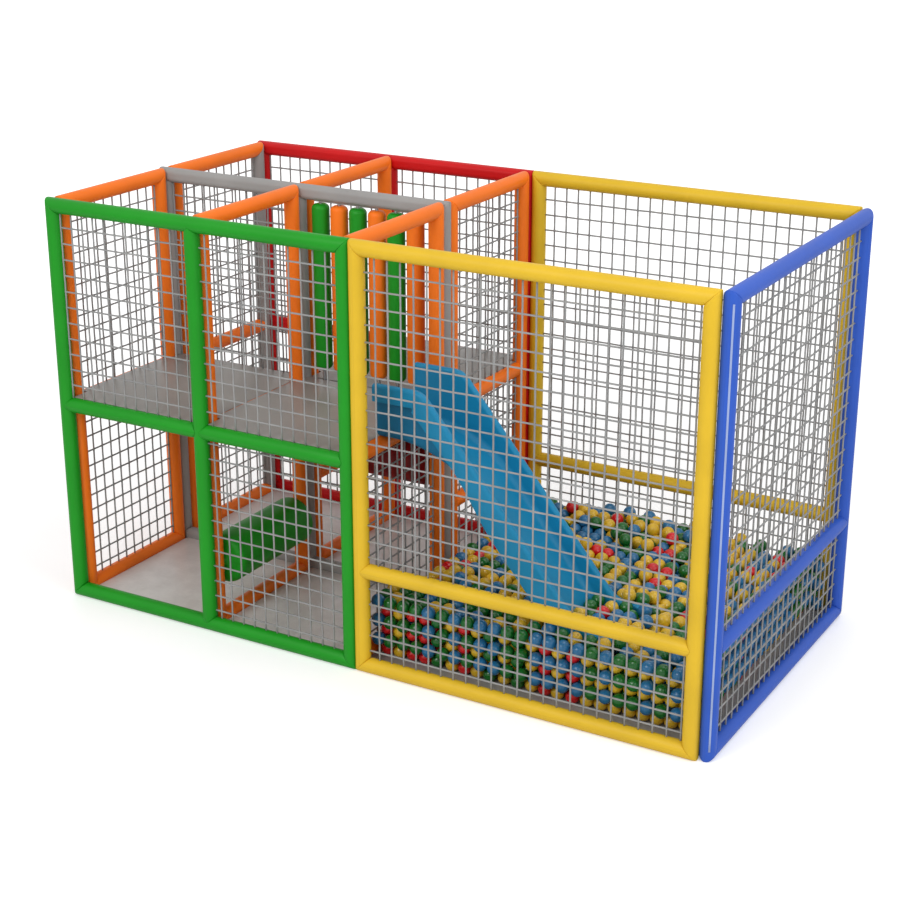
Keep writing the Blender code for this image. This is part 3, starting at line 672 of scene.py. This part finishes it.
def build_nets():
    """Sixteen nets in the tower and six round the pit."""
    lower, upper = (Z_LOW, Z_DECK), (Z_DECK, Z_TOP)
    left_bay, right_bay = (X_LEFT, X_CENTRE), (X_CENTRE, X_RIGHT)
    front_bay = (Y_FRONT + STEP, Y_MIDDLE - STEP)
    back_bay = (Y_MIDDLE + STEP, Y_BACK - STEP)
    front, middle, back = facing_y(Y_FRONT), facing_y(Y_MIDDLE), facing_y(Y_BACK)
    left, right, end = facing_x(X_LEFT), facing_x(X_RIGHT), facing_x(X_END)
    panels = [
        ("front_left_upper_net", front, left_bay, upper, TOWER_STRAND),
        ("front_right_upper_net", front, right_bay, upper, TOWER_STRAND),
        ("front_right_lower_net", front, right_bay, lower, TOWER_STRAND),
        ("middle_left_upper_net", middle, left_bay, upper, TOWER_STRAND),
        ("left_front_upper_net", left, front_bay, upper, SIDE_STRAND),
        ("left_front_lower_net", left, front_bay, lower, SIDE_STRAND),
        ("left_back_upper_net", left, back_bay, upper, SIDE_STRAND),
        ("left_back_lower_net", left, back_bay, lower, SIDE_STRAND),
        ("right_front_lower_net", right, front_bay, lower, SIDE_STRAND),
        ("right_back_upper_net", right, back_bay, upper, SIDE_STRAND),
        ("right_back_middle_net", right, back_bay, (Z_RAIL, Z_DECK), SIDE_STRAND),
        ("right_back_lower_net", right, back_bay, (Z_LOW, Z_RAIL), SIDE_STRAND),
        ("back_left_upper_net", back, left_bay, upper, TOWER_STRAND),
        ("back_right_upper_net", back, right_bay, upper, TOWER_STRAND),
        ("back_left_lower_net", back, left_bay, lower, TOWER_STRAND),
        ("back_right_lower_net", back, right_bay, lower, TOWER_STRAND),
    ]
    for side, plane, across, first in (("front", front, (X_PIT, X_PIT_END), PIT_STRAND),
                                       ("back", back, (X_PIT, X_PIT_END), PIT_STRAND),
                                       ("end", end, (END_START, END_STOP), SIDE_STRAND)):
        panels.append((f"pit_{side}_upper_net", plane, across, (Z_RAIL, Z_TOP), first))
        panels.append((f"pit_{side}_lower_net", plane, across, (Z_LOW, Z_RAIL), first))
    for seed, panel in enumerate(panels):
        build_net(*panel, seed)


# Decks and mats

def build_boards():
    """Padded boards: the CAD outline with rounded edges."""
    for node, slot in (("left_front_deck", "deck"), ("right_front_deck", "deck"),
                       ("right_back_deck", "deck"), ("left_front_mat", "mat"),
                       ("left_back_mat", "mat"), ("right_front_mat", "mat"),
                       ("right_back_mat", "mat"), ("pit_mat", "pit_mat")):
        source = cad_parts[node]
        mesh = source.data.copy()
        mesh.transform(source.matrix_world)
        mesh.materials.clear()
        mesh.materials.append(MATERIALS[slot])
        shape = bmesh.new()
        shape.from_mesh(mesh)
        bmesh.ops.remove_doubles(shape, verts=shape.verts, dist=1e-5)
        bmesh.ops.dissolve_limit(shape, angle_limit=0.02, verts=shape.verts, edges=shape.edges)
        shape.to_mesh(mesh)
        shape.free()
        piece = put(node + "_pad", mesh)
        round_edges(piece, width=BOARD_EDGES[slot], segments=3, degrees=50)
        mesh.shade_smooth()
        stands_for(piece, slot, node)


# Rollers

def roller_profile(half, radius, corner, bore):
    """Half section of a roller from its low end to its high end."""
    low = arc((radius - corner, corner - half), corner, -QUARTER, 0.0, CORNER_STEPS)
    high = arc((radius - corner, half - corner), corner, 0.0, QUARTER, CORNER_STEPS)
    middle = [(radius, place) for place in np.linspace(-half + corner, half - corner, 8)[1:-1]]
    return [(bore, -half), *low, *middle, *high, (bore, half)]


def turned(node, profile, axis, sides, material, slot):
    """A foam roller turned about the middle of its CAD node, on its own body."""
    centre, axis = np.array(middle_of(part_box(node)), float), np.array(axis, float)
    circle = circle_about(axis, sides)
    shape = Shape()
    shape.rings([centre + circle * radius + axis * place for radius, place in profile],
                [place for _, place in profile])
    piece = shape.make(node + "_foam", material)
    stands_for(piece, slot, node, body=node + "_body")


def build_rollers():
    """Six upright rollers on steel rods and two lying ones on their own pins."""
    for index in range(1, 7):
        node = f"upright_roller_{index}"
        colour = "green" if index % 2 else "orange"
        low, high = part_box(node)
        profile = roller_profile((high[2] - low[2]) / 2, *UPRIGHT_ROLLER)
        turned(node, profile, (0, 0, 1), 48, colour, colour)
    for node, slot, material, axis, index in (
            ("green_roller", "green", "green", (0, 1, 0), 1),
            ("red_roller", "red", "red_roller", (1, 0, 0), 0)):
        low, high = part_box(node)
        reach = (high[index] - low[index]) / 2
        bore = LYING_ROLLER[-1]
        profile = roller_profile(reach - PIN_OUT, *LYING_ROLLER)
        turned(node, [(bore, -reach), *profile, (bore, reach)], axis, 64, material, slot)
    for index in range(1, 7):
        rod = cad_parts[f"roller_rod_{index}"]
        rod.data.materials.clear()
        rod.data.materials.append(MATERIALS["steel"])


# Slide

def slide_rows():
    """Side view of the slide: rows of bed point, rim point and skirt depth.

    A point is its x and z, then the x and z of the way up from the bed.
    """
    sin_a, cos_a, half = math.sin(SLIDE_ANGLE), math.cos(SLIDE_ANGLE), math.tan(SLIDE_ANGLE / 2)
    slope_x = BED_BEND_X + BED_BEND_R * sin_a
    slope_z = BED_Z - BED_BEND_R * (1 - cos_a)
    foot_x = slope_x + (slope_z - FOOT_Z) / math.tan(SLIDE_ANGLE) + FOOT_R * half
    rim_x = slope_x + SIDE_H * sin_a - (RIM_Z - slope_z - SIDE_H * cos_a) / math.tan(SLIDE_ANGLE)
    rim_bend = rim_x - GUARD_R * half
    full = FOOT_Z + SIDE_H - MAT_TOP
    rows = []
    for share in np.linspace(0.0, 1.0, 6)[:-1]:
        rows.append(((X_RIGHT + (BED_BEND_X - X_RIGHT) * share, BED_Z, 0.0, 1.0),
                     (X_RIGHT + (rim_bend - X_RIGHT) * share, RIM_Z, 0.0, 1.0), SKIRT_TOP))
    for share in np.linspace(0.0, 1.0, BEND_STEPS + 1):
        sine, cosine = math.sin(SLIDE_ANGLE * share), math.cos(SLIDE_ANGLE * share)
        x, z = BED_BEND_X + BED_BEND_R * sine, BED_Z - BED_BEND_R * (1 - cosine)
        rows.append(((x, z, sine, cosine),
                     (rim_bend + GUARD_R * sine, RIM_Z - GUARD_R * (1 - cosine), sine, cosine),
                     SKIRT_TOP + share * (SKIRT_DEPTHS[0] - SKIRT_TOP)))
    foot = []
    for share in np.linspace(0.0, 1.0, BEND_STEPS + 1):
        angle = SLIDE_ANGLE * (1 - share)
        sine, cosine = math.sin(angle), math.cos(angle)
        x, z = foot_x - FOOT_R * sine, FOOT_Z + FOOT_R * (1 - cosine)
        foot.append(((x, z, sine, cosine), (x + SIDE_H * sine, z + SIDE_H * cosine, sine, cosine),
                     SKIRT_DEPTHS[-1] + share * (full - SKIRT_DEPTHS[-1])))
    above, below = rows[-1], foot[0]
    for share in np.linspace(0.0, 1.0, 15)[1:-1]:
        bed = tuple(high + share * (low - high) for high, low in zip(above[0], below[0]))
        rim = tuple(high + share * (low - high) for high, low in zip(above[1], below[1]))
        rows.append((bed, rim, float(np.interp(share, SKIRT_SHARES, SKIRT_DEPTHS))))
    rows += foot
    end_x = foot_x + FOOT_FLAT
    rows.append(((end_x, FOOT_Z, 0.0, 1.0), (end_x, FOOT_Z + SIDE_H, 0.0, 1.0), full))
    return rows


def rim_arcs(radius):
    """The hollow rim over one side wall, from its outer edge to its inner one."""
    return (arc((RIM_HALF - RIM_R, -RIM_R), radius, 0, QUARTER, RIM_STEPS)
            + arc((BED_HALF + RIM_R, -RIM_R), radius, QUARTER, 2 * QUARTER, RIM_STEPS))


def build_slide(rows):
    """The moulded slide. Returns its skin as points and faces, for the balls to keep clear of."""
    half = [(RIM_HALF, "skirt", 1.0), (RIM_HALF, "skirt", SKIRT_MID)]
    half += [(across, "rim", up) for across, up in rim_arcs(RIM_R)]
    fillet = arc((BED_HALF - FILLET_R, FILLET_R), FILLET_R, 0, -QUARTER, RIM_STEPS)
    half += [(across, "bed", up) for across, up in fillet]
    section = [(-across, line, up) for across, line, up in half] + half[::-1]
    verts, faces = [], []
    for bed, rim, skirt in rows:
        for across, line, up in section:
            x, z, up_x, up_z = bed if line == "bed" else rim
            rise = -skirt * up if line == "skirt" else up
            verts.append((x + rise * up_x, SLIDE_Y + across, z + rise * up_z))
    count = len(section)
    for row in range(len(rows) - 1):
        for index in range(count - 1):
            low = row * count + index
            faces.append((low, low + count, low + count + 1, low + 1))
    mesh = bpy.data.meshes.new("slide_moulding")
    mesh.from_pydata(verts, [], faces)
    mesh.materials.append(MATERIALS["slide"])
    mesh.materials.append(MATERIALS["slide_back_painted_shade"])
    piece = put("slide_moulding", mesh)
    skin = piece.modifiers.new("skin", "SOLIDIFY")
    skin.thickness = WALL_T
    skin.offset = -1.0
    skin.use_even_offset = True
    # The offset side of the skin takes the darker back plastic, which is painted shade
    skin.material_offset = 1
    round_edges(piece, width=0.0022, segments=2, degrees=60)
    mesh.shade_smooth()
    stands_for(piece, "slide", "slide")
    return verts, faces


def build_slide_ends(rows):
    """Rounded end plugs that close the hollow rims at the top and at the foot."""
    shape = bmesh.new()
    for (_, rim, skirt), way in ((rows[0], 1.0), (rows[-1], -1.0)):
        depth = skirt if way > 0 else PLUG_FOOT_DEPTH
        outline = [(RIM_HALF - PLUG_GAP, -depth), *rim_arcs(RIM_R - PLUG_GAP),
                   (BED_HALF + PLUG_GAP, -depth)]
        for side in (-1.0, 1.0):
            first, last = [
                [shape.verts.new((rim[0] + reach * way, SLIDE_Y + side * across, rim[1] + up))
                 for across, up in outline] for reach in (-PLUG_OUT, PLUG_IN)]
            shape.faces.new(first)
            shape.faces.new(last)
            for index in range(len(outline)):
                after = (index + 1) % len(outline)
                shape.faces.new((first[index], first[after], last[after], last[index]))
    bmesh.ops.recalc_face_normals(shape, faces=shape.faces)
    mesh = bpy.data.meshes.new("slide_end_plugs")
    shape.to_mesh(mesh)
    shape.free()
    mesh.materials.append(MATERIALS["slide"])
    piece = put("slide_end_plugs", mesh)
    round_edges(piece, width=0.003, segments=3, degrees=50)
    mesh.shade_smooth()
    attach(piece, STRUCTURE)


# Balls

def spread_columns(low, high, rng):
    """Push two families of columns apart until balls of one layer, and of the next, just touch."""
    step_x = (high[0] - low[0]) / round((high[0] - low[0]) / COLUMN_PITCH)
    step_y = (high[1] - low[1]) / round((high[1] - low[1]) / COLUMN_PITCH)
    points, family = [], []
    for index, (x, y) in enumerate(((0.0, 0.0), (0.5, 0.5))):
        for a in np.arange(low[0] + x * step_x, high[0] + RANGE_END, step_x):
            for b in np.arange(low[1] + y * step_y, high[1] + RANGE_END, step_y):
                points.append((a, b))
                family.append(index)
    points, family = np.array(points), np.array(family)
    points += rng.normal(0.0, COLUMN_SCATTER, points.shape)
    points[family == 1, 1] = np.maximum(points[family == 1, 1], low[1] + SECOND_ROW)
    reach = np.where(family[:, None] == family[None, :], 2 * BALL_R, UNLIKE_REACH)
    for _ in range(PUSH_TURNS):
        points = np.clip(points, low, high)
        gap = points[:, None, :] - points[None, :, :]
        dist = np.linalg.norm(gap, axis=2)
        np.fill_diagonal(dist, FAR)
        short = np.maximum(reach - dist, 0.0)
        points += (gap / dist[:, :, None] * (short * PUSH_SHARE)[:, :, None]).sum(1)
    return np.clip(points, low, high), family


def surface_level(x, y):
    """Height of the ball tops: low beside the tower and in the back corner, high at the foot."""
    side = np.clip((y - TOWER_DIP_Y) / TOWER_DIP_RUN, 0.0, 1.0)
    level = LEVEL - TOWER_DIP * side * np.exp(-(x / TOWER_DIP_W) ** 2)
    for height, at_x, at_y, width_x, width_y, power in LEVEL_RISES:
        level = level + height * np.exp(-((x - at_x) / width_x) ** power
                                        - ((y - at_y) / width_y) ** power)
    return level + LEVEL_NOISE * np.sin(17 * x + 5 * y) * np.sin(15 * y - 6 * x + 1.3)


def slide_rest(tree, xs, ys):
    """Height at which a ball let down at each place comes to rest on the slide."""
    rest = np.full((len(xs), len(ys)), -FAR)
    for i, x in enumerate(xs):
        for j, y in enumerate(ys):
            beside = abs(y - SLIDE_Y) > RIM_HALF + BALL_R
            if beside or not SLIDE_REST_X[0] < x < SLIDE_REST_X[1]:
                continue
            for z in np.arange(*SLIDE_REST_Z):
                if tree.find_nearest((x, y, z))[3] < BALL_R + REST_GAP:
                    rest[i, j] = z
                    break
    return rest


def settle(balls, tree, low, high, rng):
    """Drop balls into the lowest free place, one at a time, up to the level of the surface."""
    xs = np.arange(low[0], high[0] + RANGE_END, DROP_STEP)
    ys = np.arange(low[1], high[1] + RANGE_END, DROP_STEP)
    rest = slide_rest(tree, xs, ys)
    reach = int(2 * BALL_R / DROP_STEP) + 1

    def around(i, j, steps):
        return (slice(max(i - steps, 0), i + steps + 1), slice(max(j - steps, 0), j + steps + 1))

    def lay(ball):
        near = around(round((ball[0] - low[0]) / DROP_STEP),
                      round((ball[1] - low[1]) / DROP_STEP), reach)
        away = (xs[near[0], None] - ball[0]) ** 2 + (ys[None, near[1]] - ball[1]) ** 2
        lift = ball[2] + np.sqrt(np.maximum(4 * BALL_R ** 2 - away, 0.0))
        lift[away >= 4 * BALL_R ** 2] = -FAR
        rest[near] = np.maximum(rest[near], lift)

    for ball in balls:
        lay(ball)
    limit = surface_level(xs[:, None], ys[None, :]) - BALL_R
    added = []
    while True:
        places = np.where((rest < limit) & (rest > DROP_LOWEST), rest, FAR)
        i, j = np.unravel_index(int(places.argmin()), places.shape)
        if places[i, j] == FAR:
            return added
        ball = (xs[i], ys[j], rest[i, j])
        if ball[2] > VACANT_FROM and rng.random() < VACANT_SHARE:
            rest[around(i, j, VACANT_STEPS)] = FAR
            continue
        added.append(ball)
        lay(ball)


def pile_balls(skin, rows):
    """Stack balls in layers, except where they would cut the slide, and settle more on top.

    Each ball is its x, y and z, its colour, its layer and how far its column is from the walls.
    """
    rng = np.random.default_rng(PILE_SEED)
    low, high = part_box("ball_fill")
    inner_low = np.array((low[0] + BALL_R, low[1] + BALL_R))
    inner_high = np.array((high[0] - BALL_R, high[1] - BALL_R))
    columns, family = spread_columns(inner_low, inner_high, rng)
    columns = np.vstack((columns, CORNER_COLUMN))
    family = np.append(family, 1)
    at_front = columns[:, 1] - inner_low[1] < AT_WALL
    at_end = inner_high[0] - columns[:, 0] < AT_WALL
    margin = np.minimum.reduce([columns[:, 0] - inner_low[0], inner_high[0] - columns[:, 0],
                                columns[:, 1] - inner_low[1], inner_high[1] - columns[:, 1]])
    outer = (family == 0) & (at_front | at_end)
    colour = []
    for at_wall, front, end in zip(outer, at_front, at_end):
        share = (WALL_SHARES if at_wall else FRONT_SHARES if front
                 else END_SHARES if end else INNER_SHARES)
        colour.append(rng.choice(4, p=share))
    tree = BVHTree.FromPolygons(*skin)
    foot_end = rows[-1][0][0]
    hem = np.array([(rim[0] - skirt * rim[2], rim[1] - skirt * rim[3]) for _, rim, skirt in rows])
    balls = []
    for (x, y), kind, tint, edge, at_wall in zip(columns, family, colour, margin, outer):
        under = abs(y - SLIDE_Y) < RIM_HALF + HEM_SIDE and x < foot_end + HEM_SIDE
        for layer in range(1 - kind, len(BALL_LAYERS), 2):
            if layer == TOP_LAYER and not at_wall:
                continue
            z = BALL_LAYERS[layer] + rng.normal(0.0, LAYER_SCATTER)
            if layer == 0:
                z = BALL_LAYERS[0]
            if under and np.interp(x, hem[:, 0], hem[:, 1]) < z + HEM_GAP:
                continue
            if tree.find_nearest((x, y, z))[3] < BALL_R + SLIDE_GAP:
                continue
            balls.append((x, y, z, tint, layer, edge))
    for x, y, z in settle([ball[:3] for ball in balls], tree, inner_low, inner_high, rng):
        balls.append((x, y, z, rng.choice(4, p=SETTLED_SHARES), SETTLED_LAYER, 0.0))
    return np.array(balls)


def build_balls(skin, rows):
    """The balls that can be seen, one piece for each colour."""
    balls = pile_balls(skin, rows)
    rng = np.random.default_rng(TURN_SEED)
    points, colours, layers, edge = balls[:, :3], balls[:, 3], balls[:, 4], balls[:, 5]
    seen = (layers >= TOP_LAYER - 1) | (edge < SEEN_FROM_WALL)
    shape = bmesh.new()
    bmesh.ops.create_icosphere(shape, subdivisions=3, radius=BALL_R)
    base_verts = np.array([vert.co[:] for vert in shape.verts])
    base_faces = np.array([[vert.index for vert in face.verts] for face in shape.faces])
    shape.free()
    for index, (name, colour) in enumerate(BALL_COLOURS.items()):
        verts, faces = [], []
        for number, which in enumerate(np.nonzero(seen & (colours == index))[0]):
            angle = rng.uniform(0, 2 * math.pi)
            turn = np.array(Matrix.Rotation(angle, 3, TURN_AXIS))
            verts.append(base_verts @ turn.T + points[which])
            faces.append(base_faces + number * len(base_verts))
        mesh = bpy.data.meshes.new(f"{name}_balls")
        mesh.from_pydata(np.concatenate(verts).tolist(), [], np.concatenate(faces).tolist())
        mesh.shade_smooth()
        mesh.materials.append(ball_material(f"{name}_ball_plastic", colour))
        piece = put(f"{name}_balls", mesh)
        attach(piece, STRUCTURE)
    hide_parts("ball_fill")
    print("balls", len(points), "shown", int(seen.sum()))


# Surroundings

def build_floor():
    """Pale floor that keeps the shadow and fades into the backdrop."""
    nodes = Material("floor_white")
    away = nodes.add("ShaderNodeVectorMath", {0: nodes.place()}, operation="LENGTH")
    level = nodes.span(away.outputs["Value"], *FLOOR_GLOW, *FLOOR_FADE)
    direct = nodes.add("ShaderNodeLightPath").outputs["Is Camera Ray"]
    glow = nodes.add("ShaderNodeMath", {0: direct, 1: level}, operation="MULTIPLY")
    nodes.set("Base Color", FLOOR_TONE)
    nodes.set("Roughness", 0.55)
    nodes.set("Emission Color", WHITE)
    nodes.set("Emission Strength", glow.outputs[0])
    mesh = bpy.data.meshes.new("floor")
    corners = [(x * FLOOR_HALF, y * FLOOR_HALF, 0) for x, y in ((-1, -1), (1, -1), (1, 1), (-1, 1))]
    mesh.from_pydata(corners, [], [(0, 1, 2, 3)])
    mesh.materials.append(nodes.material)
    floor = put("floor", mesh)


def build_light():
    """White studio, brighter where it's seen or mirrored than where it lights, and soft lamps."""
    world = bpy.data.worlds.new("studio")
    bpy.context.scene.world = world
    world.use_nodes = True
    nodes = Tree(world.node_tree)
    path = nodes.add("ShaderNodeLightPath").outputs
    either = nodes.add("ShaderNodeMath", {0: path["Is Camera Ray"], 1: path["Is Glossy Ray"]},
                       operation="MAXIMUM")
    level = nodes.add("ShaderNodeMapRange", {"Value": either.outputs[0],
                                             "To Min": WORLD_LIGHT, "To Max": WORLD_SEEN})
    background = world.node_tree.nodes["Background"]
    nodes.wire(background.inputs["Color"], WHITE)
    nodes.wire(background.inputs["Strength"], level.outputs["Result"])
    for name, place, target, size, power in LAMPS:
        lamp = bpy.data.lights.new(name, "AREA")
        lamp.shape = "DISK"
        lamp.size = size
        lamp.energy = power
        holder = put(name, lamp)
        holder.location = place
        aim = (Vector(target) - Vector(place)).to_track_quat("-Z", "Y")
        holder.rotation_euler = aim.to_euler()


def build_camera():
    """Camera at the photo's angle."""
    camera = bpy.data.cameras.new("camera")
    camera.lens = CAMERA_LENS
    camera.sensor_width = CAMERA_SENSOR
    camera.clip_end = 200.0
    holder = put("camera", camera)
    holder.location = CAMERA_PLACE
    holder.rotation_euler = (math.radians(90 - CAMERA_DOWN), 0.0, math.radians(CAMERA_TURN))
    bpy.context.scene.camera = holder


build_camera()
build_frames()
build_zip()
build_nets()
build_boards()
build_rollers()
slide_side_view = slide_rows()
slide_skin = build_slide(slide_side_view)
build_slide_ends(slide_side_view)
build_balls(slide_skin, slide_side_view)
build_floor()
build_light()
bpy.context.scene.view_settings.view_transform = "Standard"
